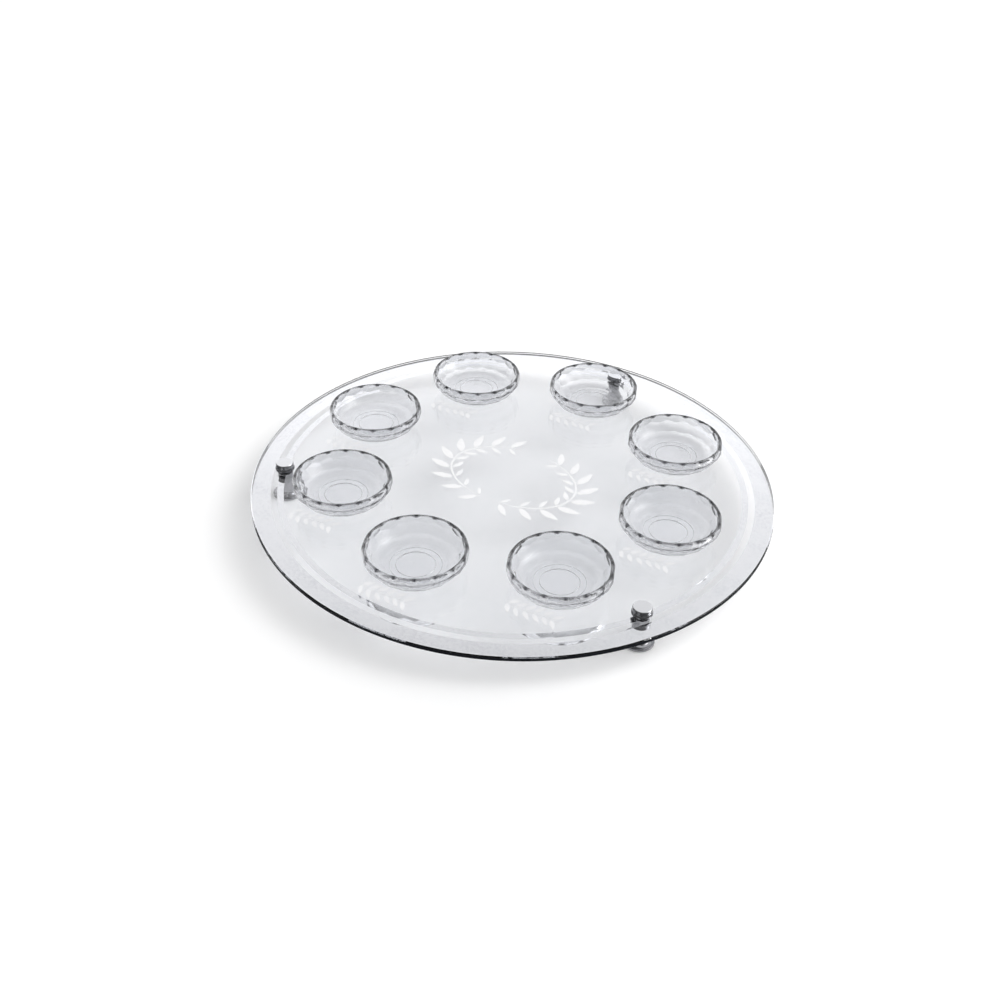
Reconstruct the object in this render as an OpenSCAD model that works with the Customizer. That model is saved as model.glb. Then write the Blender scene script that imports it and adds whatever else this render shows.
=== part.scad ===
// Round glass serving plate on screwed metal legs, with loose faceted glass bowls standing in a ring on it.
// The origin is on the table under the plate's centre, +Z is up and +Y points to the back leg.

/* [Plate] */
// Diameter of the glass disc
plate_d = 400; // [360:5:460]
// Thickness of the glass disc
plate_t = 4; // [3:0.5:6]
// Ground bevel along both edges of the disc
plate_bevel = 0.8; // [0.2:0.1:1]

/* [Legs] */
// Clear height between the table and the glass
leg_h = 22; // [18:0.5:40]
// Distance from the disc's edge to a leg's axis
leg_inset = 23; // [18:0.5:28]
// Diameter of the column under the glass
column_d = 11.5; // [10.5:0.5:14]
// Diameter of the flared base
base_d = 22; // [19:0.5:30]
// Thickness of the base's rim
base_rim_t = 1.6; // [1:0.1:3]
// Width of the flat ledge between the base's rim and the flare
base_ledge = 0.75; // [0.4:0.05:1.5]
// Bevel on the edges of the base, half as wide on the lower edge of the cap
leg_bevel = 0.5; // [0.2:0.1:0.8]

/* [Caps] */
// Diameter of the cap above the glass
cap_d = 13.6; // [11.2:0.2:16]
// Height of the cap
cap_h = 5.5; // [4:0.5:9]
// Bevel on the top edge of the cap
cap_bevel = 0.5; // [0.4:0.1:1.2]
// How far the rim at the foot of the cap stands out
cap_rim_out = 0.6; // [0.4:0.1:1.4]
// Thickness of that rim
cap_rim_t = 1; // [0.7:0.1:1.2]
// Height of the slope from the rim to the cap's side
cap_slope_h = 1.2; // [0.8:0.1:1.4]
// Metal left above the cap's threaded hole
cap_roof = 1.4; // [1:0.1:2]

/* [Fixings] */
// Diameter of the threaded stud
stud_d = 6; // [5:0.5:6.5]
// Depth of the threaded hole in the top of the column
column_hole = 11; // [8:0.5:14]
// Gap left at each end of the stud
stud_end_gap = 0.3; // [0.1:0.1:0.6]
// Radial clearance of the stud in its threaded holes
thread_clear = 0.04; // [0.02:0.01:0.1]
// Wall of the sleeve that lines the hole in the glass
sleeve_wall = 1; // [0.7:0.1:1.4]
// Radial clearance of the sleeve, inside and outside
sleeve_clear = 0.15; // [0.05:0.05:0.3]
// Thickness of the gaskets above and below the glass
gasket_t = 0.5; // [0.3:0.1:1]
// How far a gasket stands back from the metal that it seals
gasket_inset = 0.3; // [0.1:0.1:0.6]
// Diameter of the non-slip pad under the base
pad_d = 16; // [13:0.5:17]
// Thickness of the pad
pad_t = 1.5; // [1:0.1:2.5]
// How far the pad stands below the base
pad_proud = 0.5; // [0.3:0.1:0.8]
// Radial clearance of the pad in its recess
pad_clear = 0.1; // [0.05:0.05:0.2]

/* [Bowls] */
// Width of a bowl across the flats of its rim
rim_d = 73; // [64:0.5:78]
// Height of a bowl
bowl_h = 19; // [17:0.5:24]
// Thickness of the wall at the middle of an upper facet
wall_t = 2.5; // [2:0.1:3]
// Thickness of the bowl's floor
floor_t = 3.4; // [2.8:0.1:4]
// Height of the straight lip above the rounded wall
lip_h = 0.8; // [0.5:0.1:1.5]
// Bevel on both edges of the lip
lip_bevel = 0.6; // [0.2:0.1:0.8]
// Diameter of the foot ring
foot_d = 37; // [34:0.2:44]
// Width of the foot ring
foot_w = 4.6; // [2:0.1:5]
// Height of the foot ring
foot_h = 1; // [0.6:0.1:1.4]
// Number of facets in a row around the bowl
facet_count = 16; // [14:1:18]
// Clearance between a bowl's rim and the back cap
bowl_cap_gap = 1; // [0.5:0.5:6]

/* [Hidden] */
round_fn = 96;
// How far a cutter runs past the face that it cuts
cut_over = 1;
// How far the bowl's blank stands outside its ridges before the facets are cut
blank_over = 0.5;

// Levels of the stacked pieces
glass_z = leg_h;
glass_top_z = glass_z + plate_t;
column_top_z = glass_z - gasket_t;
cap_z = glass_top_z + gasket_t;
base_z = pad_proud;

// Legs
leg_names = ["back", "left", "right"];
leg_first_angle = 90;
leg_ring_r = plate_d / 2 - leg_inset;
cap_r = cap_d / 2;
cap_rim_r = cap_r + cap_rim_out;
stud_hole_r = stud_d / 2 + thread_clear;
stud_top_z = cap_z + cap_h - cap_roof - stud_end_gap;
stud_low_z = column_top_z - column_hole + stud_end_gap;
sleeve_in_r = stud_d / 2 + sleeve_clear;
sleeve_out_r = sleeve_in_r + sleeve_wall;
glass_hole_r = sleeve_out_r + sleeve_clear;
flare_r = (base_d - column_d) / 2 - base_ledge;
flare_z = base_z + base_rim_t;

// Bowl sections: the hollow's wall curves about a ring of radius wall_ring_r at height wall_mid_z, and each row of
// facets lies wall_r plus its swell away from that ring, square to its tilt
bowl_count = 8;
rim_r = rim_d / 2;
facet_tilts = [0, 36, 69];
facet_swells = [0, 0.55, 0.25];
floor_z = foot_h + floor_t;
wall_mid_z = bowl_h - lip_h;
inner_r = wall_mid_z - floor_z;
wall_r = inner_r + wall_t;
wall_ring_r = rim_r - wall_r;
ridge_r = rim_r / cos(180 / facet_count);
blank_r = ridge_r + blank_over;
bowl_ring_r = leg_ring_r - cap_rim_r - bowl_cap_gap - ridge_r;

bowl_names = [for (i = [1 : bowl_count]) str("bowl_", i)];
leg_pieces = ["cap", "upper_gasket", "sleeve", "lower_gasket", "stud", "foot", "pad"];

glass_colour = [0.86, 0.9, 0.91, 0.45];
chrome_colour = [0.78, 0.79, 0.82];
steel_colour = [0.62, 0.63, 0.65];
gasket_colour = [0.1, 0.1, 0.11];
sleeve_colour = [0.93, 0.93, 0.9];
pad_colour = [0.8, 0.8, 0.78];

// Carries its children to a leg's axis
module at_leg(i) {
  rotate(leg_first_angle + i * 360 / len(leg_names))
    translate([leg_ring_r, 0, 0])
      children();
}

// A disc with both edges bevelled, standing on z = 0
module bevelled_disc(d, h, low_bevel, top_bevel) {
  r = d / 2;
  rotate_extrude($fn = round_fn)
    polygon([
      [0, 0],
      [r - low_bevel, 0],
      [r, low_bevel],
      [r, h - top_bevel],
      [r - top_bevel, h],
      [0, h]
    ]);
}

// A flat ring standing on z = 0
module flat_ring(out_r, in_r, h) {
  difference() {
    cylinder(r = out_r, h = h, $fn = round_fn);
    translate([0, 0, -cut_over]) cylinder(r = in_r, h = h + 2 * cut_over, $fn = round_fn);
  }
}

// Glass disc with a drilled hole for each leg
module plate() {
  color(glass_colour)
    difference() {
      translate([0, 0, glass_z]) bevelled_disc(plate_d, plate_t, plate_bevel, plate_bevel);
      for (i = [0 : len(leg_names) - 1])
        at_leg(i)
          translate([0, 0, glass_z - cut_over])
            cylinder(r = glass_hole_r, h = plate_t + 2 * cut_over, $fn = round_fn);
    }
}

// The turned outside of a cap, standing on z = 0: a rim, a slope, a straight side and a bevelled top
module cap_form() {
  low_bevel = leg_bevel / 2;
  rotate_extrude($fn = round_fn)
    polygon([
      [0, 0],
      [cap_rim_r - low_bevel, 0],
      [cap_rim_r, low_bevel],
      [cap_rim_r, cap_rim_t],
      [cap_r, cap_rim_t + cap_slope_h],
      [cap_r, cap_h - cap_bevel],
      [cap_r - cap_bevel, cap_h],
      [0, cap_h]
    ]);
}

// Chrome cap above the glass, with a blind threaded hole from below
module cap(i) {
  color(chrome_colour)
    at_leg(i)
      difference() {
        translate([0, 0, cap_z]) cap_form();
        translate([0, 0, cap_z - cut_over])
          cylinder(r = stud_hole_r, h = cap_h - cap_roof + cut_over, $fn = round_fn);
      }
}

// Rubber gasket between the cap and the glass
module upper_gasket(i) {
  color(gasket_colour)
    at_leg(i)
      translate([0, 0, glass_top_z]) flat_ring(cap_rim_r - gasket_inset, sleeve_in_r, gasket_t);
}

// Nylon sleeve that keeps the stud off the glass
module sleeve(i) {
  color(sleeve_colour)
    at_leg(i)
      translate([0, 0, glass_z]) flat_ring(sleeve_out_r, sleeve_in_r, plate_t);
}

// Rubber gasket between the glass and the column
module lower_gasket(i) {
  color(gasket_colour)
    at_leg(i)
      translate([0, 0, column_top_z]) flat_ring(column_d / 2 - gasket_inset, sleeve_in_r, gasket_t);
}

// Threaded stud that pulls the cap down to the column
module stud(i) {
  color(steel_colour)
    at_leg(i)
      translate([0, 0, stud_low_z])
        cylinder(d = stud_d, h = stud_top_z - stud_low_z, $fn = round_fn);
}

// Quarter-round sweep from the column out to the base
module flare() {
  rotate_extrude($fn = round_fn)
    difference() {
      square([column_d / 2 + flare_r, flare_r]);
      translate([column_d / 2 + flare_r, flare_r]) circle(r = flare_r, $fn = round_fn);
    }
}

// Chrome column with its flared base, a threaded hole in its top and a recess for the pad
module foot(i) {
  color(chrome_colour)
    at_leg(i)
      difference() {
        union() {
          translate([0, 0, base_z]) bevelled_disc(base_d, base_rim_t, leg_bevel, leg_bevel);
          translate([0, 0, flare_z]) flare();
          translate([0, 0, base_z]) cylinder(d = column_d, h = column_top_z - base_z, $fn = round_fn);
        }
        translate([0, 0, column_top_z - column_hole])
          cylinder(r = stud_hole_r, h = column_hole + cut_over, $fn = round_fn);
        translate([0, 0, -cut_over])
          cylinder(r = pad_d / 2 + pad_clear, h = pad_t + cut_over, $fn = round_fn);
      }
}

// Soft non-slip pad set into the base
module pad(i) {
  color(pad_colour)
    at_leg(i)
      cylinder(d = pad_d, h = pad_t, $fn = round_fn);
}

// A block whose inner face is the plane of one facet
module facet_cutter(row, i) {
  rotate((i + row / 2) * 360 / facet_count)
    translate([wall_ring_r, 0, wall_mid_z])
      rotate([0, facet_tilts[row], 0])
        translate([wall_r + facet_swells[row], -ridge_r / 2, -wall_r])
          cube([2 * wall_r, ridge_r, 2 * wall_r]);
}

// The hollow of a bowl: a flat floor, a rounded wall and a straight lip with a bevelled edge
module bowl_hollow() {
  in_r = wall_ring_r + inner_r;
  rotate_extrude($fn = round_fn) {
    translate([0, floor_z]) square([wall_ring_r, bowl_h - floor_z]);
    translate([wall_ring_r, wall_mid_z]) circle(r = inner_r, $fn = round_fn);
    translate([0, wall_mid_z]) square([in_r, lip_h + cut_over]);
    translate([in_r - lip_bevel, bowl_h - 2 * lip_bevel])
      polygon([
        [0, 0],
        [2 * lip_bevel + cut_over, 2 * lip_bevel + cut_over],
        [0, 2 * lip_bevel + cut_over]
      ]);
  }
}

// Bevel round the outside of the lip
module lip_cutter() {
  lip_cut_w = blank_r - rim_r + lip_bevel + 2 * cut_over;
  rotate_extrude($fn = round_fn)
    translate([blank_r + cut_over, bowl_h + cut_over])
      polygon([
        [0, 0],
        [-lip_cut_w, 0],
        [0, -lip_cut_w]
      ]);
}

// One glass bowl, standing on z = 0: rows of flat facets outside, each row turned half a facet from the next
module bowl_form() {
  difference() {
    union() {
      difference() {
        translate([0, 0, foot_h]) cylinder(r = blank_r, h = bowl_h - foot_h, $fn = round_fn);
        for (row = [0 : len(facet_tilts) - 1])
          for (i = [0 : facet_count - 1])
            facet_cutter(row, i);
        lip_cutter();
      }
      cylinder(d = foot_d, h = floor_z, $fn = round_fn);
    }
    bowl_hollow();
    translate([0, 0, -cut_over]) cylinder(d = foot_d - 2 * foot_w, h = foot_h + cut_over, $fn = round_fn);
  }
}

// Loose bowl in its place on the glass
module bowl(i) {
  color(glass_colour)
    rotate(i * 360 / bowl_count)
      translate([bowl_ring_r, 0, glass_top_z])
        bowl_form();
}

plate();
for (i = [0 : bowl_count - 1])
  bowl(i);
for (i = [0 : len(leg_names) - 1]) {
  cap(i);
  upper_gasket(i);
  sleeve(i);
  lower_gasket(i);
  stud(i);
  foot(i);
  pad(i);
}
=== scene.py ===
import math

import bmesh
import bpy
import numpy as np
from mathutils import Matrix, Vector


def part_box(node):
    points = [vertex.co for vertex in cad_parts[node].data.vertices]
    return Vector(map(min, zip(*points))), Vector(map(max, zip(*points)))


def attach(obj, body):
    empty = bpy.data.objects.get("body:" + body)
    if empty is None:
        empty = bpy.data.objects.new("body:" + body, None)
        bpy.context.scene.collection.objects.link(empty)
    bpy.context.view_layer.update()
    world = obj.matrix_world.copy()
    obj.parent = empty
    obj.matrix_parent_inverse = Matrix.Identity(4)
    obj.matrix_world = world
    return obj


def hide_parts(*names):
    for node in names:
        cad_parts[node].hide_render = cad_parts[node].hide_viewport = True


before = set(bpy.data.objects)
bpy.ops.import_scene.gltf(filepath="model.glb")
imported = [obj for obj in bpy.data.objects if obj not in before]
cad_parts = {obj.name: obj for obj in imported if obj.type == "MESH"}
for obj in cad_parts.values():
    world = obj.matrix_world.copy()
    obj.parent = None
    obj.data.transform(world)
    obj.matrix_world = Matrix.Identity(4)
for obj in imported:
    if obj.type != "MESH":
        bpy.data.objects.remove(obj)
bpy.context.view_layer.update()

# Non-slip pads
# Each leg stands on a round pad of soft clear silicone, cut from sheet and pressed into a recess in the
# base. It stands half a millimetre proud of the metal, so that the chrome never touches the table.
MM = 0.001
LEGS = ("back", "left", "right")
PAD_R = 8.0
PAD_T = 1.5
PAD_EASES = (0, 0.35, 0.2, 0)
SILICONE_SCATTER = 0.3
SILICONE_DEPTH = 0.002
SMEAR_TURN = 0.6
SMEAR_STRETCH = 2.6
SMEAR_DETAIL = 3
SPECK_DETAIL = 2
SPECK_FINER = 14
MARKS_FROM = 0.2
MARKS_FULL = 0.42
# The colour sockets of a Mix node go by number, because its other sockets have the same names.
MIX_A, MIX_B, MIX_OUT = 6, 7, 2


def eased(corners, ease, steps=5, closed=False, lead=1.1, same=1e-9):
    """A polyline with rounded corners: at each corner P a parabola (1-t)^2 A + 2t(1-t) P + t^2 C runs
    between the points A and C that lie the corner's ease back along its two sides. One more point on each
    side, lead times as far back, keeps the flat that follows it flat when it is shaded. Points that coincide
    are dropped."""
    corners = np.asarray(corners, float)
    ease = np.broadcast_to(np.asarray(ease, float), len(corners)).copy()
    before = np.roll(corners, 1, axis=0) - corners
    after = np.roll(corners, -1, axis=0) - corners
    if not closed:
        ease[[0, -1]] = 0
    before /= np.linalg.norm(before, axis=1, keepdims=True)
    after /= np.linalg.norm(after, axis=1, keepdims=True)
    t = np.linspace(0, 1, steps)[None, :, None]
    start = (corners + before * ease[:, None])[:, None]
    end = (corners + after * ease[:, None])[:, None]
    curve = (1 - t) ** 2 * start + 2 * t * (1 - t) * corners[:, None] + t ** 2 * end
    lead_in = (corners + before * ease[:, None] * lead)[:, None]
    lead_out = (corners + after * ease[:, None] * lead)[:, None]
    curve = np.concatenate([lead_in, curve, lead_out], axis=1).reshape(-1, 2)
    fresh = np.r_[True, np.abs(np.diff(curve, axis=0)).max(axis=1) > same]
    return curve[fresh]


def skin(name, points, loop_rows=False, loop_columns=False, sharp=40, merge=1e-7):
    """A mesh from a grid of points in millimetres, copies x rows x columns x 3. Each cell is a quad, a
    looped direction joins its last line to its first, and points that meet at a pole or a tip are merged."""
    points = np.asarray(points, float)
    points = points.reshape((-1,) + points.shape[-3:])
    index = np.arange(points.size // 3).reshape(points.shape[:3])
    if loop_rows:
        index = np.concatenate([index, index[:, :1]], axis=1)
    if loop_columns:
        index = np.concatenate([index, index[:, :, :1]], axis=2)
    corners = (index[:, :-1, :-1], index[:, :-1, 1:], index[:, 1:, 1:], index[:, 1:, :-1])
    quads = np.stack(corners, axis=-1).reshape(-1, 4)
    mesh = bpy.data.meshes.new(name)
    mesh.from_pydata((points.reshape(-1, 3) * MM).tolist(), [], quads.tolist())
    work = bmesh.new()
    work.from_mesh(mesh)
    bmesh.ops.remove_doubles(work, verts=work.verts, dist=merge)
    work.to_mesh(mesh)
    work.free()
    mesh.polygons.foreach_set("use_smooth", np.ones(len(mesh.polygons), bool))
    mesh.set_sharp_from_angle(angle=math.radians(sharp))
    piece = bpy.data.objects.new(name, mesh)
    bpy.context.scene.collection.objects.link(piece)
    return piece


def around(centre, radius, height, a):
    """Points round a vertical axis: centre + (r cos a, r sin a, z) for radius r, height z and angle a."""
    x = centre[0] + radius * np.cos(a)
    y = centre[1] + radius * np.sin(a)
    return np.stack([x, y, height + 0 * x], axis=-1)


def turned(name, centre, profile, columns=96, closed=False):
    """A profile of (radius, height) points carried round a vertical axis. It runs outwards below and
    inwards above, so that the faces point out."""
    a = np.linspace(0, 2 * np.pi, columns, endpoint=False)[None, :]
    points = around(centre, profile[:, :1], profile[:, 1:], a)
    return skin(name, points, loop_rows=closed, loop_columns=True)


def node_axis(node):
    """The middle of a CAD node's box seen from above, in millimetres: the axis of a round piece."""
    low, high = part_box(node)
    return (low.x + high.x) / 2 / MM, (low.y + high.y) / 2 / MM


def new_finish(name, colour, roughness, metallic=0.0):
    """A material with one Principled shader, and its nodes and links to add to."""
    material = bpy.data.materials.new(name)
    material.use_nodes = True
    nodes, links = material.node_tree.nodes, material.node_tree.links
    shader = nodes["Principled BSDF"]
    shader.inputs["Base Color"].default_value = (*colour, 1)
    shader.inputs["Roughness"].default_value = roughness
    shader.inputs["Metallic"].default_value = metallic
    return material, nodes, links, shader


def marks_group():
    """Handling marks: broad wiped smears times fine specks, from two noises on Object coordinates. They put
    out a roughness between Clean and Marked, and a colour between Plain and Dulled."""
    group = bpy.data.node_groups.new("handling_marks", "ShaderNodeTree")
    for socket, way, kind in (
        ("Scale", "INPUT", "NodeSocketFloat"),
        ("Clean", "INPUT", "NodeSocketFloat"),
        ("Marked", "INPUT", "NodeSocketFloat"),
        ("Plain", "INPUT", "NodeSocketColor"),
        ("Dulled", "INPUT", "NodeSocketColor"),
        ("Roughness", "OUTPUT", "NodeSocketFloat"),
        ("Color", "OUTPUT", "NodeSocketColor"),
    ):
        group.interface.new_socket(name=socket, in_out=way, socket_type=kind)
    nodes, links = group.nodes, group.links
    given, out = nodes.new("NodeGroupInput"), nodes.new("NodeGroupOutput")
    place = nodes.new("ShaderNodeTexCoord")
    stretch = nodes.new("ShaderNodeMapping")
    stretch.inputs["Rotation"].default_value = (0, 0, SMEAR_TURN)
    stretch.inputs["Scale"].default_value = (1, SMEAR_STRETCH, 1)
    smears, specks = nodes.new("ShaderNodeTexNoise"), nodes.new("ShaderNodeTexNoise")
    smears.inputs["Detail"].default_value = SMEAR_DETAIL
    specks.inputs["Detail"].default_value = SPECK_DETAIL
    finer, both = nodes.new("ShaderNodeMath"), nodes.new("ShaderNodeMath")
    finer.operation = "MULTIPLY"
    finer.inputs[1].default_value = SPECK_FINER
    both.operation = "MULTIPLY"
    amount = nodes.new("ShaderNodeMapRange")
    amount.interpolation_type = "SMOOTHSTEP"
    amount.inputs["From Min"].default_value = MARKS_FROM
    amount.inputs["From Max"].default_value = MARKS_FULL
    rough, tint = nodes.new("ShaderNodeMix"), nodes.new("ShaderNodeMix")
    tint.data_type = "RGBA"
    links.new(place.outputs["Object"], stretch.inputs["Vector"])
    links.new(stretch.outputs["Vector"], smears.inputs["Vector"])
    links.new(place.outputs["Object"], specks.inputs["Vector"])
    links.new(given.outputs["Scale"], smears.inputs["Scale"])
    links.new(given.outputs["Scale"], finer.inputs[0])
    links.new(finer.outputs[0], specks.inputs["Scale"])
    links.new(smears.outputs["Fac"], both.inputs[0])
    links.new(specks.outputs["Fac"], both.inputs[1])
    links.new(both.outputs[0], amount.inputs["Value"])
    links.new(amount.outputs["Result"], rough.inputs["Factor"])
    links.new(amount.outputs["Result"], tint.inputs["Factor"])
    links.new(given.outputs["Clean"], rough.inputs["A"])
    links.new(given.outputs["Marked"], rough.inputs["B"])
    links.new(given.outputs["Plain"], tint.inputs[MIX_A])
    links.new(given.outputs["Dulled"], tint.inputs[MIX_B])
    links.new(rough.outputs["Result"], out.inputs["Roughness"])
    links.new(tint.outputs[MIX_OUT], out.inputs["Color"])
    return group


handling_marks = marks_group()


def add_marks(nodes, links, shader, scale, marked, dulled):
    """Places the handling marks in a material. They lead from its own roughness and colour, where it is
    clean, to the roughness marked and the colour dulled."""
    marks = nodes.new("ShaderNodeGroup")
    marks.node_tree = handling_marks
    marks.inputs["Scale"].default_value = scale
    marks.inputs["Clean"].default_value = shader.inputs["Roughness"].default_value
    marks.inputs["Marked"].default_value = marked
    marks.inputs["Plain"].default_value = shader.inputs["Base Color"].default_value
    marks.inputs["Dulled"].default_value = (*dulled, 1)
    links.new(marks.outputs["Roughness"], shader.inputs["Roughness"])
    links.new(marks.outputs["Color"], shader.inputs["Base Color"])


def add_grain(nodes, links, shader, scale, depth, detail=3):
    """A slightly uneven surface: noise on Object coordinates as the height of a bump, depth in metres."""
    place, grain = nodes.new("ShaderNodeTexCoord"), nodes.new("ShaderNodeTexNoise")
    bump = nodes.new("ShaderNodeBump")
    grain.inputs["Scale"].default_value = scale
    grain.inputs["Detail"].default_value = detail
    bump.inputs["Distance"].default_value = depth
    links.new(place.outputs["Object"], grain.inputs["Vector"])
    links.new(grain.outputs["Fac"], bump.inputs["Height"])
    links.new(bump.outputs["Normal"], shader.inputs["Normal"])


def wear(piece, material, slot, body, *nodes):
    """Gives a finished piece its material and body, and hides the CAD nodes that it stands for. The slot is
    not used.
    """
    piece.data.materials.clear()
    piece.data.materials.append(material)
    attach(piece, body)
    if nodes:
        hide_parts(*nodes)


pad_silicone, nodes, links, shader = new_finish("pad_silicone", colour=(0.8, 0.81, 0.8), roughness=0.4)
shader.inputs["Subsurface Weight"].default_value = SILICONE_SCATTER
shader.inputs["Subsurface Radius"].default_value = (SILICONE_DEPTH, SILICONE_DEPTH, SILICONE_DEPTH)
add_marks(nodes, links, shader, scale=260, marked=0.62, dulled=(0.66, 0.66, 0.64))
add_grain(nodes, links, shader, scale=2600, depth=0.00005)
pad_outline = eased([(0, 0), (PAD_R, 0), (PAD_R, PAD_T), (0, PAD_T)], PAD_EASES)
for side in LEGS:
    pad = turned(f"soft_pad_{side}", node_axis(f"pad_{side}"), pad_outline)
    wear(pad, pad_silicone, "pad", "stand", f"pad_{side}")

# Feet
# Each leg is a turned brass column with a flared base, polished and plated with dark chrome. Its colour is
# darkened further as painted shade, for the dim underside of the plate that the chrome reflects. It is
# drilled and tapped from above for the stud, and recessed below for its pad.
BASE_R = 11.0
BASE_Z = 0.5
BASE_RIM_T = 1.6
BASE_EASES = (0, 0.1, 0.15, 0.5, 0.5, 0)
COLUMN_R = 5.75
COLUMN_TOP_Z = 21.5
COLUMN_HOLE = 11.0
COLUMN_EASES = (0, 0.25, 0.2, 0.1, 0)
FLARE_R = 4.5
FLARE_POINTS = 14
STUD_HOLE_R = 3.04
PAD_RECESS_R = 8.1

# The dark colour is partly painted shade, for the dim underside of the plate that the chrome reflects.
shaded_foot_chrome, nodes, links, shader = new_finish(
    "shaded_foot_chrome", colour=(0.35, 0.352, 0.365), roughness=0.035, metallic=1.0)
add_marks(nodes, links, shader, scale=190, marked=0.11, dulled=(0.28, 0.282, 0.295))
rim_z = BASE_Z + BASE_RIM_T
hole_z = COLUMN_TOP_Z - COLUMN_HOLE
# The flare is a hollow quarter circle from the top of the base's rim up to the column's side.
flare_t = np.linspace(0, np.pi / 2, FLARE_POINTS)
flare = np.stack([
    COLUMN_R + FLARE_R * (1 - np.cos(flare_t)),
    rim_z + FLARE_R * (1 - np.sin(flare_t)),
], axis=1)[::-1]
base_outline = eased([
    (0, PAD_T), (PAD_RECESS_R, PAD_T), (PAD_RECESS_R, BASE_Z), (BASE_R, BASE_Z), (BASE_R, rim_z),
    (flare[0, 0], rim_z),
], BASE_EASES)
column_outline = eased([
    (COLUMN_R, flare[-1, 1]), (COLUMN_R, COLUMN_TOP_Z), (STUD_HOLE_R, COLUMN_TOP_Z), (STUD_HOLE_R, hole_z),
    (0, hole_z),
], COLUMN_EASES)
foot_outline = np.concatenate([base_outline[:-1], flare, column_outline[1:]])
for side in LEGS:
    foot = turned(f"turned_foot_{side}", node_axis(f"foot_{side}"), foot_outline)
    wear(foot, shaded_foot_chrome, "chrome", "stand", f"foot_{side}")

# Studs
# A headless steel screw with a 6 mm thread of 1 mm pitch joins each column to its cap through the glass.
# The thread is rolled, so its crests and roots are slightly rounded.
STUD_R = 3.0
THREAD_PITCH = 1.0
THREAD_DEPTH = 0.54
THREAD_LEAD = 1.2
CREST_SHARP = 0.97


def threaded(name, centre, low, high, columns=48, rows_per_turn=10):
    """A screw: at height z and angle a the radius is the outer radius less the thread's depth times how
    far the ridge is below its crest. The ridge is arcsin(s c) / arcsin(s), with c = cos(2 pi z / pitch - a)
    and s just below 1: straight flanks with rounded crests and roots. At both ends it falls to the root over
    the lead."""
    rows = int((high - low) / THREAD_PITCH * rows_per_turn)
    z = np.linspace(low, high, rows)[:, None]
    a = np.linspace(0, 2 * np.pi, columns, endpoint=False)[None, :]
    wave = np.cos(2 * np.pi * z / THREAD_PITCH - a)
    ridge = np.arcsin(CREST_SHARP * wave) / np.arcsin(CREST_SHARP)
    lead = np.clip(np.minimum(z - low, high - z) / THREAD_LEAD, 0, 1)
    radius = STUD_R - THREAD_DEPTH * (1 - lead * (1 + ridge) / 2)
    radius = np.concatenate([0 * a, radius, 0 * a])
    z = np.concatenate([z[:1], z, z[-1:]])
    return skin(name, around(centre, radius, z, a), loop_columns=True)


stud_steel, nodes, links, shader = new_finish(
    "stud_steel", colour=(0.58, 0.59, 0.61), roughness=0.24, metallic=1.0)
add_marks(nodes, links, shader, scale=320, marked=0.42, dulled=(0.42, 0.42, 0.43))
for side in LEGS:
    low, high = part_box(f"stud_{side}")
    stud = threaded(f"threaded_stud_{side}", node_axis(f"stud_{side}"), low.z / MM, high.z / MM)
    wear(stud, stud_steel, "stud_steel", "stand", f"stud_{side}")

# Sleeves and lower gaskets
# A nylon sleeve, cut from tube, lines each hole, so that the steel never bears on the glass. A black rubber
# washer, cut from sheet, is clamped between the glass and the column.
SLEEVE_IN_R = 3.15
SLEEVE_OUT_R = 4.15
SLEEVE_EASE = 0.15
GLASS_Z = 22.0
GLASS_T = 4.0
GASKET_T = 0.5
GASKET_EASE = 0.2
LOWER_GASKET_R = 5.45
SEAT_GAP = 0.02


def ring_outline(in_r, out_r, low, high, ease):
    """The closed outline of a ring's section, run outwards below and inwards above."""
    return eased([(in_r, low), (out_r, low), (out_r, high), (in_r, high)], ease, closed=True)


top_z = GLASS_Z + GLASS_T
nylon, nodes, links, shader = new_finish("sleeve_nylon", colour=(0.9, 0.9, 0.87), roughness=0.35)
add_marks(nodes, links, shader, scale=300, marked=0.5, dulled=(0.8, 0.8, 0.76))
black_rubber, nodes, links, shader = new_finish(
    "black_rubber", colour=(0.022, 0.022, 0.025), roughness=0.42)
add_marks(nodes, links, shader, scale=300, marked=0.6, dulled=(0.045, 0.045, 0.047))
add_grain(nodes, links, shader, scale=2600, depth=0.00004)
sleeve_outline = ring_outline(SLEEVE_IN_R, SLEEVE_OUT_R, GLASS_Z + SEAT_GAP, top_z - SEAT_GAP, SLEEVE_EASE)
washer_low, washer_high = GLASS_Z - GASKET_T + SEAT_GAP, GLASS_Z - SEAT_GAP
washer_outline = ring_outline(SLEEVE_IN_R, LOWER_GASKET_R, washer_low, washer_high, GASKET_EASE)
for side in LEGS:
    axis = node_axis(f"sleeve_{side}")
    sleeve = turned(f"nylon_sleeve_{side}", axis, sleeve_outline, closed=True)
    wear(sleeve, nylon, "sleeve", "stand", f"sleeve_{side}")
    washer = turned(f"lower_washer_{side}", axis, washer_outline, closed=True)
    wear(washer, black_rubber, "gasket", "stand", f"lower_gasket_{side}")

# Plate
# One disc of flat clear glass, 4 mm thick, with a hole drilled for each leg. Its edge has two polished
# bevels and, between them, a straight part that is ground matt and coloured near black: painted shade for the
# dark seen looking into the glass through its edge. Wiping leaves faint marks on it.
PLATE_R = 200.0
PLATE_BEVEL = 0.8
PLATE_EASE = 0.15
PLATE_COLUMNS = 720
HOLE_R = 4.3
HOLE_OVER = 1.0
EDGE_BAND = 0.2
EDGE_STEEP = 0.35
EDGE_SHEEN = 0.04
GLASS_INDEX = 1.5
GRAZE_FROM = 0.35
GRAZE_FULL = 0.95


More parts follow.
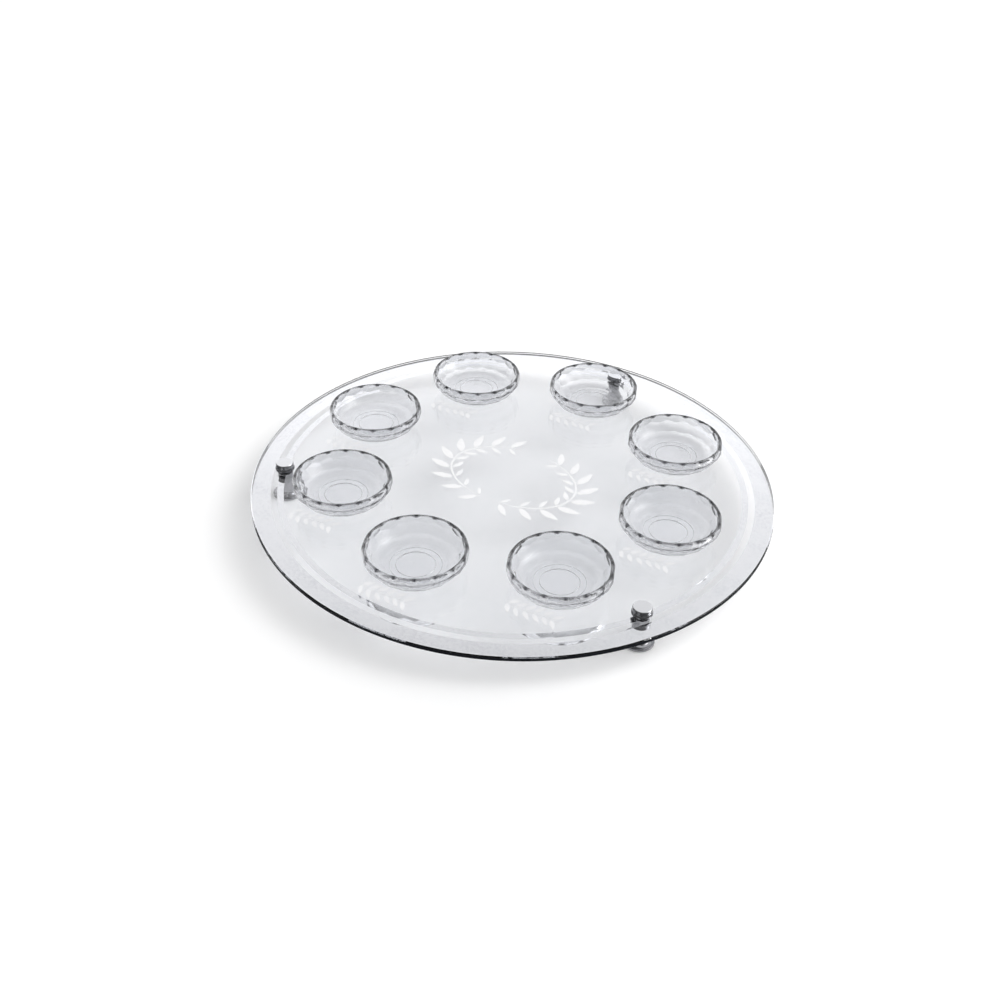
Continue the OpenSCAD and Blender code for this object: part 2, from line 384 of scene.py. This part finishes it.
def clear_glass(name, tint, shade, rim_shade):
    """Clear glass: a Principled shader that transmits, with a Transparent one in its place for rays from
    lamps and for light that bounces off the table, so that both reach the table as they do under real glass.
    The Transparent colour goes from shade, where light falls square on the glass, to rim_shade, where it
    grazes."""
    material, nodes, links, shader = new_finish(name, tint, roughness=0.0)
    shader.inputs["Transmission Weight"].default_value = 1
    shader.inputs["IOR"].default_value = GLASS_INDEX
    path, clear = nodes.new("ShaderNodeLightPath"), nodes.new("ShaderNodeBsdfTransparent")
    graze, passed = nodes.new("ShaderNodeLayerWeight"), nodes.new("ShaderNodeValToRGB")
    square_on, grazing = passed.color_ramp.elements
    square_on.position = GRAZE_FROM
    square_on.color = (*shade, 1)
    grazing.position = GRAZE_FULL
    grazing.color = (*rim_shade, 1)
    links.new(graze.outputs["Facing"], passed.inputs["Fac"])
    links.new(passed.outputs["Color"], clear.inputs["Color"])
    bounced, lit = nodes.new("ShaderNodeMixShader"), nodes.new("ShaderNodeMixShader")
    links.new(path.outputs["Is Diffuse Ray"], bounced.inputs["Fac"])
    links.new(shader.outputs["BSDF"], bounced.inputs[1])
    links.new(clear.outputs["BSDF"], bounced.inputs[2])
    links.new(path.outputs["Is Shadow Ray"], lit.inputs["Fac"])
    links.new(bounced.outputs["Shader"], lit.inputs[1])
    links.new(clear.outputs["BSDF"], lit.inputs[2])
    links.new(lit.outputs["Shader"], nodes["Material Output"].inputs["Surface"])
    return material, nodes, links, shader


def drill(piece, axes, radius, low, high, sharp=25):
    """Cuts a round hole through a piece at each axis, by a boolean difference with a pin."""
    pin_outline = np.array([(0, low), (radius, low), (radius, high), (0, high)])
    for axis in axes:
        pin = turned("pin", axis, pin_outline)
        cut = piece.modifiers.new("hole", "BOOLEAN")
        cut.object = pin
        cut.operation = "DIFFERENCE"
        cut.solver = "EXACT"
        scene_now = bpy.context.evaluated_depsgraph_get()
        drilled = bpy.data.meshes.new_from_object(piece.evaluated_get(scene_now))
        piece.modifiers.clear()
        piece.data = drilled
        bpy.data.objects.remove(pin)
    piece.data.set_sharp_from_angle(angle=math.radians(sharp))


plate_glass, nodes, links, shader = clear_glass(
    "plate_glass", tint=(0.985, 0.99, 1.0), shade=(0.875, 0.88, 0.89), rim_shade=(0.7, 0.705, 0.72))
add_marks(nodes, links, shader, scale=9, marked=0.02, dulled=(0.965, 0.975, 0.985))
# The straight edge is coloured near black with little sheen: painted shade for the dark seen looking into the
# glass through its edge.
painted_dark_edge, nodes, links, shader = new_finish("painted_dark_edge", colour=(0.004, 0.005, 0.008), roughness=0.45)
shader.inputs["Specular IOR Level"].default_value = EDGE_SHEEN
add_marks(nodes, links, shader, scale=60, marked=0.6, dulled=(0.012, 0.014, 0.019))
disc_outline = eased([
    (0, GLASS_Z), (PLATE_R - PLATE_BEVEL, GLASS_Z), (PLATE_R, GLASS_Z + PLATE_BEVEL),
    (PLATE_R, top_z - PLATE_BEVEL), (PLATE_R - PLATE_BEVEL, top_z), (0, top_z),
], PLATE_EASE)
disc = turned("glass_disc", (0, 0), disc_outline, columns=PLATE_COLUMNS)
hole_axes = [node_axis(f"sleeve_{side}") for side in LEGS]
drill(disc, hole_axes, HOLE_R, GLASS_Z - HOLE_OVER, top_z + HOLE_OVER)
wear(disc, plate_glass, "plate_glass", "stand", "plate")
disc.data.materials.append(painted_dark_edge)
# The straight part of the edge, which takes the painted dark, is the upright faces at the disc's full radius.
faces = disc.data.polygons
middles, normals = np.empty(len(faces) * 3), np.empty(len(faces) * 3)
faces.foreach_get("center", middles)
faces.foreach_get("normal", normals)
far_out = np.hypot(middles[0::3], middles[1::3]) > (PLATE_R - EDGE_BAND) * MM
upright = np.abs(normals[2::3]) < EDGE_STEEP
faces.foreach_set("material_index", (far_out & upright).astype(np.int32))

# Silvering
# The underside of the glass carries a mirror coating: a broad border by the edge, and a thin ring inside it
# that stops at each leg to leave the washer's seat clear. The coat is chemical silver under a clear lacquer.
COAT_Z = 21.95
COAT_T = 0.03
COAT_EASE = 0.008
BORDER_IN_R = 185.2
BORDER_OUT_R = 199.0
RING_IN_R = 175.5
RING_OUT_R = 180.4
RING_FIRST_DEG = 90.0
LEG_STEP_DEG = 120.0
SEAT_HALF_DEG = 1.95

silver, nodes, links, shader = new_finish(
    "mirror_silver", colour=(0.96, 0.96, 0.965), roughness=0.008, metallic=1.0)
add_marks(nodes, links, shader, scale=30, marked=0.035, dulled=(0.9, 0.9, 0.915))
border_outline = ring_outline(BORDER_IN_R, BORDER_OUT_R, COAT_Z, COAT_Z + COAT_T, COAT_EASE)
border = turned("silver_border", (0, 0), border_outline, columns=PLATE_COLUMNS, closed=True)
wear(border, silver, "silvering", "stand")


def arc_strip(name, in_r, out_r, first, last, columns=200):
    """A flat strip bent along an arc: the section's outline is carried from the first to the last angle, and
    at each end it closes on the middle of the section."""
    section = ring_outline(in_r, out_r, COAT_Z, COAT_Z + COAT_T, COAT_EASE)
    middle = np.broadcast_to(section.mean(axis=0), section.shape)
    a = np.radians(np.r_[first, np.linspace(first, last, columns), last])[None, :]
    closing = np.zeros((1, columns + 2), bool)
    closing[0, [0, -1]] = True
    radius = np.where(closing, middle[:, :1], section[:, :1])
    height = np.where(closing, middle[:, 1:], section[:, 1:])
    return skin(name, around((0, 0), radius, height, a), loop_rows=True)


for count, one in enumerate(LEGS):
    other = LEGS[(count + 1) % len(LEGS)]
    first = RING_FIRST_DEG + LEG_STEP_DEG * count + SEAT_HALF_DEG
    last = RING_FIRST_DEG + LEG_STEP_DEG * (count + 1) - SEAT_HALF_DEG
    strip = arc_strip(f"silver_ring_{one}_{other}", RING_IN_R, RING_OUT_R, first, last)
    wear(strip, silver, "silvering", "stand")

# Leaf ornament
# A wreath in the middle of the plate and a small sprig in front of each bowl are screen-printed on the glass
# in white enamel and fired. The pattern is plain leaves on thin stems.
PRINT_Z = 26.0
PRINT_T = 0.03
WREATH_A = 52.0
WREATH_B = 36.0
WREATH_PAIRS = 9
WREATH_SPAN = (-0.44, 0.36)
WREATH_LEAF = 20.0
WREATH_LEAF_W = 6.4
WREATH_LEAST = 0.7
WREATH_INNER = 0.6
WREATH_STEM_W = 1.5
WREATH_STEM_SPAN = (-0.49, 0.45)
WREATH_STEM_POINTS = 60
SPRIG_OFFSET = 35.0
SPRIG_HALF = 22.0
SPRIG_PAIRS = 6
SPRIG_SPAN = (-0.9, 0.6)
SPRIG_LEAF = 9.0
SPRIG_LEAF_W = 3.4
SPRIG_STEM_W = 0.7
SPRIG_STEM_POINTS = 40
SPRIG_WAVE = 1.2
LEAF_LEAN = 0.85
LEAF_GAP = 0.5
LEAF_SKEW = 0.8
LEAF_BLUNT = 0.9
LEAF_ARCH = 0.1
BOWLS = [f"bowl_{count}" for count in range(1, 9)]


def leaves(roots, heading, hand, length, width, stem_w, stations=13):
    """Flat leaves as grids: along a leaf t runs from 0 to 1, the half width is width / 2 * sin(pi t^p)^q
    with p as LEAF_SKEW and q as LEAF_BLUNT, and a parabola arches the leaf, so that its tip turns back to the
    stem's direction. Each station is a loop of four points, the leaf's two edges above and below."""
    t = np.linspace(0, 1, stations)[None, None, :]
    side = np.array([1, -1, -1, 1.0])[None, :, None]
    level = np.array([1, 1, 0, 0.0])[None, :, None]
    length, width = (np.broadcast_to(size, len(roots))[:, None, None] for size in (length, width))
    normal = hand * np.stack([-np.sin(heading), np.cos(heading)], axis=1)
    roots = roots + normal * (stem_w / 2 + LEAF_GAP)
    turns = (heading + hand * LEAF_LEAN)[:, None, None]
    half = width / 2 * np.abs(np.sin(np.pi * t ** LEAF_SKEW)) ** LEAF_BLUNT
    along = length * t + 0 * side
    across = side * half + hand * LEAF_ARCH * length * (t - t ** 2)
    x = roots[:, 0, None, None] + along * np.cos(turns) - across * np.sin(turns)
    y = roots[:, 1, None, None] + along * np.sin(turns) + across * np.cos(turns)
    z = PRINT_Z + PRINT_T * level + 0 * x
    return np.stack([x, y, z], axis=-1)


def stem(path, width):
    """A thin flat ribbon along a path of (x, y) points: with t from 0 to 1 along it, its half width is
    width / 2 times the root of sin(pi t), which tapers to nothing at both ends."""
    step = np.gradient(path, axis=0)
    normal = np.stack([-step[:, 1], step[:, 0]], axis=1) / np.linalg.norm(step, axis=1, keepdims=True)
    taper = np.sqrt(np.abs(np.sin(np.pi * np.linspace(0, 1, len(path)))))[:, None] * width / 2
    left, right = path + normal * taper, path - normal * taper
    loop = ((left, PRINT_T), (right, PRINT_T), (right, 0), (left, 0))
    return np.stack([np.c_[line, np.full(len(path), PRINT_Z + lift)] for line, lift in loop])


def wreath_line(hand, s):
    """One half of the wreath's ellipse: (hand A cos s, B sin s) at each s."""
    return np.stack([hand * WREATH_A * np.cos(s), WREATH_B * np.sin(s)], axis=1)


def sprig_line(x):
    """The stem of a sprig as one gentle wave: (x, wave sin(pi x / half)) at each x."""
    return np.stack([x, SPRIG_WAVE * np.sin(np.pi * x / SPRIG_HALF)], axis=1)


def join_print(name, parts):
    """Makes one printed piece of several grids of four-point loops."""
    made = [skin(name, part, loop_rows=True) for part in parts]
    work = bmesh.new()
    for piece in made:
        work.from_mesh(piece.data)
    work.to_mesh(made[0].data)
    work.free()
    for piece in made[1:]:
        bpy.data.objects.remove(piece)
    return made[0]


print_white, nodes, links, shader = new_finish("print_white", colour=(0.94, 0.94, 0.945), roughness=0.3)
add_marks(nodes, links, shader, scale=120, marked=0.5, dulled=(0.88, 0.88, 0.9))

wreath_parts = []
for hand in (1, -1):
    s = np.linspace(*WREATH_SPAN, WREATH_PAIRS) * np.pi
    heading = np.arctan2(WREATH_B * np.cos(s), -hand * WREATH_A * np.sin(s))
    size = WREATH_LEAF * (WREATH_LEAST + (1 - WREATH_LEAST) * np.cos(s))
    for lean in (1, -1):
        long = size * (1 if lean == -hand else WREATH_INNER)
        wide = WREATH_LEAF_W * long / WREATH_LEAF
        wreath_parts.append(leaves(wreath_line(hand, s), heading, lean, long, wide, WREATH_STEM_W))
    along_stem = np.linspace(*WREATH_STEM_SPAN, WREATH_STEM_POINTS) * np.pi
    wreath_parts.append(stem(wreath_line(hand, along_stem), WREATH_STEM_W))
wreath = join_print("printed_wreath", wreath_parts)
wear(wreath, print_white, "silvering", "stand")

for count, name in enumerate(BOWLS, start=1):
    middle = np.array(node_axis(name)) - (0, SPRIG_OFFSET)
    s = np.linspace(*SPRIG_SPAN, SPRIG_PAIRS) * SPRIG_HALF
    heading = np.arctan2(SPRIG_WAVE * np.pi / SPRIG_HALF * np.cos(np.pi * s / SPRIG_HALF), 1)
    along_stem = np.linspace(-SPRIG_HALF, SPRIG_HALF, SPRIG_STEM_POINTS)
    parts = [stem(middle + sprig_line(along_stem), SPRIG_STEM_W)]
    for lean in (1, -1):
        roots = middle + sprig_line(s)
        parts.append(leaves(roots, heading, lean, SPRIG_LEAF, SPRIG_LEAF_W, SPRIG_STEM_W))
    sprig = join_print(f"printed_sprig_{count}", parts)
    wear(sprig, print_white, "silvering", "stand")

# Caps and upper gaskets
# A turned cap screws down on each stud from above and clamps the glass through a black rubber washer. Its
# side, with a small bevel above and a sloped rim below, is chrome coloured dark as painted shade, for the
# dark that the side reflects; its flat top keeps a bright chrome colour.
UPPER_GASKET_R = 7.1
CAP_R = 6.8
CAP_RIM_R = 7.4
CAP_RIM_T = 1.0
CAP_SLOPE_H = 1.2
CAP_Z = 26.5
CAP_H = 5.5
CAP_ROOF = 1.4
CAP_BEVEL = 0.5
CAP_EASES = (0, 0.1, 0.2, 0.25, 0.2, 0.3, 0.15, 0.15, 0)
CAP_TOP_COLOUR = (0.86, 0.87, 0.89)
CAP_TOP_ROUGH = 0.05


def change_over(nodes, links, shader, where, colour, roughness):
    """Goes over from a material's own colour and roughness to others where the socket where puts out 1."""
    tint, rough = nodes.new("ShaderNodeMix"), nodes.new("ShaderNodeMix")
    tint.data_type = "RGBA"
    links.new(where, tint.inputs["Factor"])
    links.new(where, rough.inputs["Factor"])
    links.new(shader.inputs["Base Color"].links[0].from_socket, tint.inputs[MIX_A])
    links.new(shader.inputs["Roughness"].links[0].from_socket, rough.inputs["A"])
    tint.inputs[MIX_B].default_value = (*colour, 1)
    rough.inputs["B"].default_value = roughness
    links.new(tint.outputs[MIX_OUT], shader.inputs["Base Color"])
    links.new(rough.outputs["Result"], shader.inputs["Roughness"])


# The side's dark colour is painted shade for the dark that chrome reflects there; the crown gives the top
# back its bright chrome colour.
shaded_cap_chrome, nodes, links, shader = new_finish(
    "shaded_cap_chrome", colour=(0.19, 0.191, 0.2), roughness=0.03, metallic=1.0)
add_marks(nodes, links, shader, scale=190, marked=0.09, dulled=(0.15, 0.151, 0.16))
cap_top_z = CAP_Z + CAP_H
place, split = nodes.new("ShaderNodeTexCoord"), nodes.new("ShaderNodeSeparateXYZ")
crown = nodes.new("ShaderNodeMapRange")
crown.inputs["From Min"].default_value = (cap_top_z - CAP_BEVEL / 2) * MM
crown.inputs["From Max"].default_value = (cap_top_z - CAP_BEVEL / 4) * MM
links.new(place.outputs["Object"], split.inputs["Vector"])
links.new(split.outputs["Z"], crown.inputs["Value"])
change_over(nodes, links, shader, crown.outputs["Result"], CAP_TOP_COLOUR, CAP_TOP_ROUGH)
washer_low, washer_high = top_z + SEAT_GAP, top_z + GASKET_T - SEAT_GAP
washer_outline = ring_outline(SLEEVE_IN_R, UPPER_GASKET_R, washer_low, washer_high, GASKET_EASE)
roof_z = cap_top_z - CAP_ROOF
cap_outline = eased([
    (0, roof_z), (STUD_HOLE_R, roof_z), (STUD_HOLE_R, CAP_Z), (CAP_RIM_R, CAP_Z),
    (CAP_RIM_R, CAP_Z + CAP_RIM_T), (CAP_R, CAP_Z + CAP_RIM_T + CAP_SLOPE_H),
    (CAP_R, cap_top_z - CAP_BEVEL), (CAP_R - CAP_BEVEL, cap_top_z), (0, cap_top_z),
], CAP_EASES)
for side in LEGS:
    axis = node_axis(f"cap_{side}")
    washer = turned(f"upper_washer_{side}", axis, washer_outline, closed=True)
    wear(washer, black_rubber, "gasket", "stand", f"upper_gasket_{side}")
    cap = turned(f"turned_cap_{side}", axis, cap_outline)
    wear(cap, shaded_cap_chrome, "chrome", "stand", f"cap_{side}")

# Bowls
# Loose bowls of clear pressed glass, fire-polished, each on a low foot ring. Outside are three rows of flat
# facets, and inside is smooth. The glass carries painted shade: a little darker outside, and darkest at the
# lip and its ridges, for the dark that refraction shows there.
RIM_R = 36.5
BOWL_H = 19.0
WALL_T = 2.5
FLOOR_Z = 4.4
LIP_H = 0.8
LIP_R = 1.25
FOOT_R = 18.5
FOOT_IN_R = 13.9
FOOT_H = 1.0
FOOT_EASES = (0, 0.3, 0.45, 0.45, 0)
FACETS = 16
FACET_TILTS = (0, 36, 69)
FACET_SWELLS = (0, 0.55, 0.25)
EDGE_SOFT = 0.1
LIP_CONES = (0, 18, 36, 52, 66)
LIP_ROWS = 20
LIP_END_DEG = 6.0
WALL_ROWS = 74
WALL_FIRST_DEG = 7.0
WALL_LAST_DEG = 89.6
LIP_POINTS = 10
HOLLOW_POINTS = 28
FLOOR_POINTS = 8
LEAST_FACING = 0.05
LEAST_CONE = 0.01
BOWL_SHARP_DEG = 70
BODY_TINT = (0.3, 0.31, 0.36)
BODY_DENSITY = 6.0
SHADE_TINT = (0.006, 0.006, 0.009)
SHADE_ROUGH = 0.0
LIP_DARK_Z = 18.3
LIP_DARK_RISE = 0.4
LIP_EVEN = 0.4
RIDGE_DROP = 1.2
OUTSIDE_SHADE = 0.09
# The hollow and the wall curve about a ring of radius CURVE_R at the height CURVE_Z.
CURVE_Z = BOWL_H - LIP_H
HOLLOW_R = CURVE_Z - FLOOR_Z
WALL_R = HOLLOW_R + WALL_T
CURVE_R = RIM_R - WALL_R


def faceted_bowl(name, centre, base_z, columns=320):
    """A bowl as one closed surface. Outside, seen from the ring of radius R about which the wall curves,
    the distance to the wall in a direction psi below level is the soft minimum, over all facets of tilt t
    and azimuth a, of (R cos t (1 - cos(phi - a)) + W) / (cos psi cos t cos(phi - a) + sin psi sin t), where
    W is the wall's reach plus the swell of the facet's row. It is limited too by the cones of slope c that
    touch the round lip, and by the level of the foot. Inside are the lip, the curved hollow and the floor."""
    phi = np.linspace(0, 2 * np.pi, columns, endpoint=False)[None, :, None]
    lip_r, lip_z = RIM_R - LIP_R, BOWL_H - LIP_R
    top = np.degrees(np.arctan2(CURVE_Z - BOWL_H, lip_r - CURVE_R))
    near_lip = np.linspace(top, LIP_END_DEG, LIP_ROWS)
    down_wall = np.linspace(WALL_FIRST_DEG, WALL_LAST_DEG, WALL_ROWS)
    psi = np.radians(np.r_[near_lip, down_wall])[:, None, None]
    rows = len(FACET_TILTS)
    row = np.repeat(np.arange(rows), FACETS)
    azimuth = (np.tile(np.arange(FACETS), rows) + row / 2) * (2 * np.pi / FACETS)
    t = np.radians(FACET_TILTS)[row][None, None, :]
    depth = WALL_R + np.array(FACET_SWELLS)[row][None, None, :]
    turn = phi - azimuth[None, None, :]
    facing = np.cos(psi) * np.cos(t) * np.cos(turn) + np.sin(psi) * np.sin(t)
    to_facet = (CURVE_R * np.cos(t) * (1 - np.cos(turn)) + depth) / np.maximum(facing, LEAST_FACING)
    cone = np.radians(LIP_CONES)[None, None, :]
    cone_reach = LIP_R - np.sin(cone) * (CURVE_R - lip_r) - np.cos(cone) * (CURVE_Z - lip_z)
    cone_facing = np.sin(cone) * np.cos(psi) - np.cos(cone) * np.sin(psi)
    to_lip = cone_reach / np.maximum(cone_facing, LEAST_CONE)
    to_foot = (CURVE_Z - FOOT_H) / np.maximum(np.sin(psi), LEAST_FACING)
    reach = np.concatenate([to_facet, to_lip + 0 * phi, to_foot + 0 * phi], axis=2)
    nearest = reach.min(axis=2, keepdims=True)
    soft = nearest[..., 0] - EDGE_SOFT * np.log(np.exp((nearest - reach) / EDGE_SOFT).sum(axis=2))
    down = psi[..., 0]
    wall = np.stack([CURVE_R + soft * np.cos(down), CURVE_Z - soft * np.sin(down)], axis=-1)
    foot = eased([
        (0, FOOT_H), (FOOT_IN_R, FOOT_H), (FOOT_IN_R, 0), (FOOT_R, 0), (FOOT_R, FOOT_H),
    ], FOOT_EASES)
    inward = np.linspace(np.pi / 2, np.pi, LIP_POINTS)[1:]
    lip = np.stack([lip_r + LIP_R * np.cos(inward), lip_z + LIP_R * np.sin(inward)], axis=1)
    curve = np.linspace(np.arcsin((CURVE_Z - lip_z) / HOLLOW_R), np.pi / 2, HOLLOW_POINTS)[1:]
    hollow = np.stack([CURVE_R + HOLLOW_R * np.cos(curve), CURVE_Z - HOLLOW_R * np.sin(curve)], axis=1)
    floor_r = np.linspace(CURVE_R, 0, FLOOR_POINTS)[1:]
    floor = np.stack([floor_r, np.full(len(floor_r), FLOOR_Z)], axis=1)
    inside = np.concatenate([lip, hollow, floor])
    below, above = (np.broadcast_to(line[:, None], (len(line), columns, 2)) for line in (foot, inside))
    profile = np.concatenate([below, wall[::-1], above])
    points = around(centre, profile[..., 0], base_z + profile[..., 1], phi[..., 0])
    return skin(name, points, loop_columns=True, sharp=BOWL_SHARP_DEG)


def shade_bowl(bowl, centre, base_z):
    """Paints shade on a bowl, as a point attribute that the bowl glass reads. With r as the square of a
    raised cosine, 0 in the middle of a facet and 1 at a ridge, the painted shade rises from RIDGE_DROP r^2
    below the height LIP_DARK_Z, over LIP_DARK_RISE, to LIP_EVEN + (1 - LIP_EVEN) r. On the pressed outside,
    past the middle of the wall, it is at least OUTSIDE_SHADE. It stands for the dark that refraction shows at
    the lip."""
    points = np.empty(len(bowl.data.vertices) * 3)
    bowl.data.vertices.foreach_get("co", points)
    x, y, z = points.reshape(-1, 3).T / MM - np.array([[centre[0]], [centre[1]], [base_z]])
    ridge = ((1 - np.cos(FACETS * np.arctan2(y, x))) / 2) ** 2
    rise = np.clip((z - LIP_DARK_Z + RIDGE_DROP * ridge ** 2) / LIP_DARK_RISE, 0, 1)
    radius = np.hypot(x, y)
    past_middle = np.hypot(radius - CURVE_R, z - CURVE_Z) > HOLLOW_R + WALL_T / 2
    outside = past_middle & (radius > FOOT_R)
    shade = np.maximum(rise * (LIP_EVEN + (1 - LIP_EVEN) * ridge), OUTSIDE_SHADE * outside)
    layer = bowl.data.attributes.new("painted_glass_shade", "FLOAT", "POINT")
    layer.data.foreach_set("value", shade)


bowl_glass, nodes, links, shader = clear_glass(
    "bowl_glass", tint=(0.91, 0.915, 0.93), shade=(0.985, 0.987, 0.99), rim_shade=(0.6, 0.605, 0.615))
add_marks(nodes, links, shader, scale=30, marked=0.02, dulled=(0.885, 0.892, 0.905))
# Painted shade: the glass goes over to SHADE_TINT as far as the point attribute says, at the lip, its ridges
# and outside.
painted_glass_shade = nodes.new("ShaderNodeAttribute")
painted_glass_shade.attribute_name = "painted_glass_shade"
change_over(nodes, links, shader, painted_glass_shade.outputs["Fac"], SHADE_TINT, SHADE_ROUGH)
body_tint = nodes.new("ShaderNodeVolumeAbsorption")
body_tint.inputs["Color"].default_value = (*BODY_TINT, 1)
body_tint.inputs["Density"].default_value = BODY_DENSITY
links.new(body_tint.outputs["Volume"], nodes["Material Output"].inputs["Volume"])
add_grain(nodes, links, shader, scale=90, depth=0.0002)
for name in BOWLS:
    centre = node_axis(name)
    base_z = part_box(name)[0].z / MM + SEAT_GAP
    bowl = faceted_bowl(f"faceted_{name}", centre, base_z)
    shade_bowl(bowl, centre, base_z)
    wear(bowl, bowl_glass, "bowl_glass", name, name)

# Table
# A plain white table top on which the plate stands. It looks white to the eye and in reflections, and it
# still takes the object's shadow.
TABLE_HALF = 12.0
TABLE_LIFT = 0.14
table_mesh = bpy.data.meshes.new("table_top")
table_corners = np.array([(-1, -1), (1, -1), (1, 1), (-1, 1)]) * TABLE_HALF
table_mesh.from_pydata(np.c_[table_corners, np.zeros(4)].tolist(), [], [(0, 1, 2, 3)])
table = bpy.data.objects.new("table_top", table_mesh)
bpy.context.scene.collection.objects.link(table)
white_table, nodes, links, shader = new_finish("white_table", colour=(0.9, 0.9, 0.9), roughness=1.0)
shader.inputs["Specular IOR Level"].default_value = 0
shader.inputs["Emission Color"].default_value = (1, 1, 1, 1)
path = nodes.new("ShaderNodeLightPath")
seen, any_sight, lift = (nodes.new("ShaderNodeMath") for _ in range(3))
seen.operation, any_sight.operation, lift.operation = "MAXIMUM", "MAXIMUM", "MULTIPLY"
lift.inputs[1].default_value = TABLE_LIFT
links.new(path.outputs["Is Camera Ray"], seen.inputs[0])
links.new(path.outputs["Is Glossy Ray"], seen.inputs[1])
links.new(seen.outputs[0], any_sight.inputs[0])
links.new(path.outputs["Is Transmission Ray"], any_sight.inputs[1])
links.new(any_sight.outputs[0], lift.inputs[0])
links.new(lift.outputs[0], shader.inputs["Emission Strength"])
table_mesh.materials.append(white_table)

# Light and camera
# A studio: a white sweep ahead that darkens upwards, a soft box to the camera's right, a broad lamp above.
# The rest of the room is dim, for dark edges in glass and chrome. Behind the table the camera sees white.
AZIMUTH = math.radians(30.5)
ELEVATION = math.radians(36.19)
ROLL = math.radians(1.74)
LENS = 41.09
CAMERA_PLACE = (0.3596, -0.6294, 0.5334)
BOX_GLOW = 4.7
BOX_FALLOFF = 18.0
BOX_AHEAD = 0.1
BOX_UP = 0.8
ROOM_GLOW = 0.25
SWEEP_LEVELS = (
    (0.3, 1.05), (0.45, 0.97), (0.49, 0.94), (0.575, 0.67), (0.655, 0.58), (0.7, 0.48), (0.76, 0.3),
    (0.85, 0.2), (0.95, 0.1),
)
SWEEP_COOL = 1.02
SWEEP_TURN = math.radians(-5)
SWEEP_FULL = 0.9
LAMP_SPREAD = math.radians(75)
LAMP_STRENGTH = 1.3
LAMP_RIGHT = 0.55
LAMP_BACK = 0.3
MOST_BOUNCES = 24
GLOSSY_BOUNCES = 16
up = Vector((0, 0, 1))
ahead = Vector((-math.sin(AZIMUTH), math.cos(AZIMUTH), 0))
right = Vector((math.cos(AZIMUTH), math.sin(AZIMUTH), 0))
sweep_side = ahead * math.cos(SWEEP_TURN) - right * math.sin(SWEEP_TURN)
lamp_side = (right * LAMP_RIGHT - ahead * LAMP_BACK + up).normalized()
box_side = (right + ahead * BOX_AHEAD + up * BOX_UP).normalized()

lamp_data = bpy.data.lights.new("soft_lamp", "SUN")
lamp_data.energy = LAMP_STRENGTH
lamp_data.angle = LAMP_SPREAD
lamp = bpy.data.objects.new("soft_lamp", lamp_data)
lamp.matrix_world = lamp_side.to_track_quat("Z", "Y").to_matrix().to_4x4()
lamp.visible_glossy = False
lamp.visible_transmission = False
bpy.context.scene.collection.objects.link(lamp)

world = bpy.data.worlds.new("studio")
bpy.context.scene.world = world
world.use_nodes = True
nodes, links = world.node_tree.nodes, world.node_tree.links
place, split = nodes.new("ShaderNodeTexCoord"), nodes.new("ShaderNodeSeparateXYZ")
sweep = nodes.new("ShaderNodeValToRGB")
stops = sweep.color_ramp.elements
stops[0].position, stops[1].position = SWEEP_LEVELS[0][0], SWEEP_LEVELS[-1][0]
for height, _ in SWEEP_LEVELS[1:-1]:
    stops.new(height)
for stop, (_, level) in zip(stops, SWEEP_LEVELS):
    stop.color = (level, level, level * SWEEP_COOL, 1)
to_sweep = nodes.new("ShaderNodeVectorMath")
to_sweep.operation = "DOT_PRODUCT"
to_sweep.inputs[1].default_value = sweep_side
width = nodes.new("ShaderNodeMapRange")
width.interpolation_type = "SMOOTHSTEP"
width.inputs["From Max"].default_value = SWEEP_FULL
dim = nodes.new("ShaderNodeVectorMath")
dim.operation = "SCALE"
links.new(place.outputs["Generated"], split.inputs["Vector"])
links.new(place.outputs["Generated"], to_sweep.inputs[0])
links.new(split.outputs["Z"], sweep.inputs["Fac"])
links.new(to_sweep.outputs["Value"], width.inputs["Value"])
links.new(sweep.outputs["Color"], dim.inputs[0])
links.new(width.outputs["Result"], dim.inputs["Scale"])
to_box, total = nodes.new("ShaderNodeVectorMath"), nodes.new("ShaderNodeVectorMath")
to_box.operation, total.operation = "DOT_PRODUCT", "ADD"
to_box.inputs[1].default_value = box_side
toward, falloff, box = (nodes.new("ShaderNodeMath") for _ in range(3))
toward.operation, falloff.operation, box.operation = "MAXIMUM", "POWER", "MULTIPLY_ADD"
toward.inputs[1].default_value = 0
falloff.inputs[1].default_value = BOX_FALLOFF
box.inputs[1].default_value = BOX_GLOW
box.inputs[2].default_value = ROOM_GLOW
links.new(place.outputs["Generated"], to_box.inputs[0])
links.new(to_box.outputs["Value"], toward.inputs[0])
links.new(toward.outputs[0], falloff.inputs[0])
links.new(falloff.outputs[0], box.inputs[0])
links.new(dim.outputs["Vector"], total.inputs[0])
links.new(box.outputs[0], total.inputs[1])
path, behind = nodes.new("ShaderNodeLightPath"), nodes.new("ShaderNodeMix")
behind.data_type = "RGBA"
behind.inputs[MIX_B].default_value = (1, 1, 1, 1)
links.new(path.outputs["Is Camera Ray"], behind.inputs["Factor"])
links.new(total.outputs["Vector"], behind.inputs[MIX_A])
links.new(behind.outputs[MIX_OUT], nodes["Background"].inputs["Color"])

camera_data = bpy.data.cameras.new("camera")
camera_data.lens = LENS
camera = bpy.data.objects.new("camera", camera_data)
turn = Matrix.Rotation(AZIMUTH, 4, "Z") @ Matrix.Rotation(math.pi / 2 - ELEVATION, 4, "X")
turn = turn @ Matrix.Rotation(ROLL, 4, "Z")
camera.matrix_world = Matrix.Translation(CAMERA_PLACE) @ turn
bpy.context.scene.collection.objects.link(camera)
bpy.context.scene.camera = camera
bpy.context.scene.view_settings.view_transform = "Standard"
bpy.context.scene.cycles.max_bounces = MOST_BOUNCES
bpy.context.scene.cycles.transmission_bounces = MOST_BOUNCES
bpy.context.scene.cycles.glossy_bounces = GLOSSY_BOUNCES
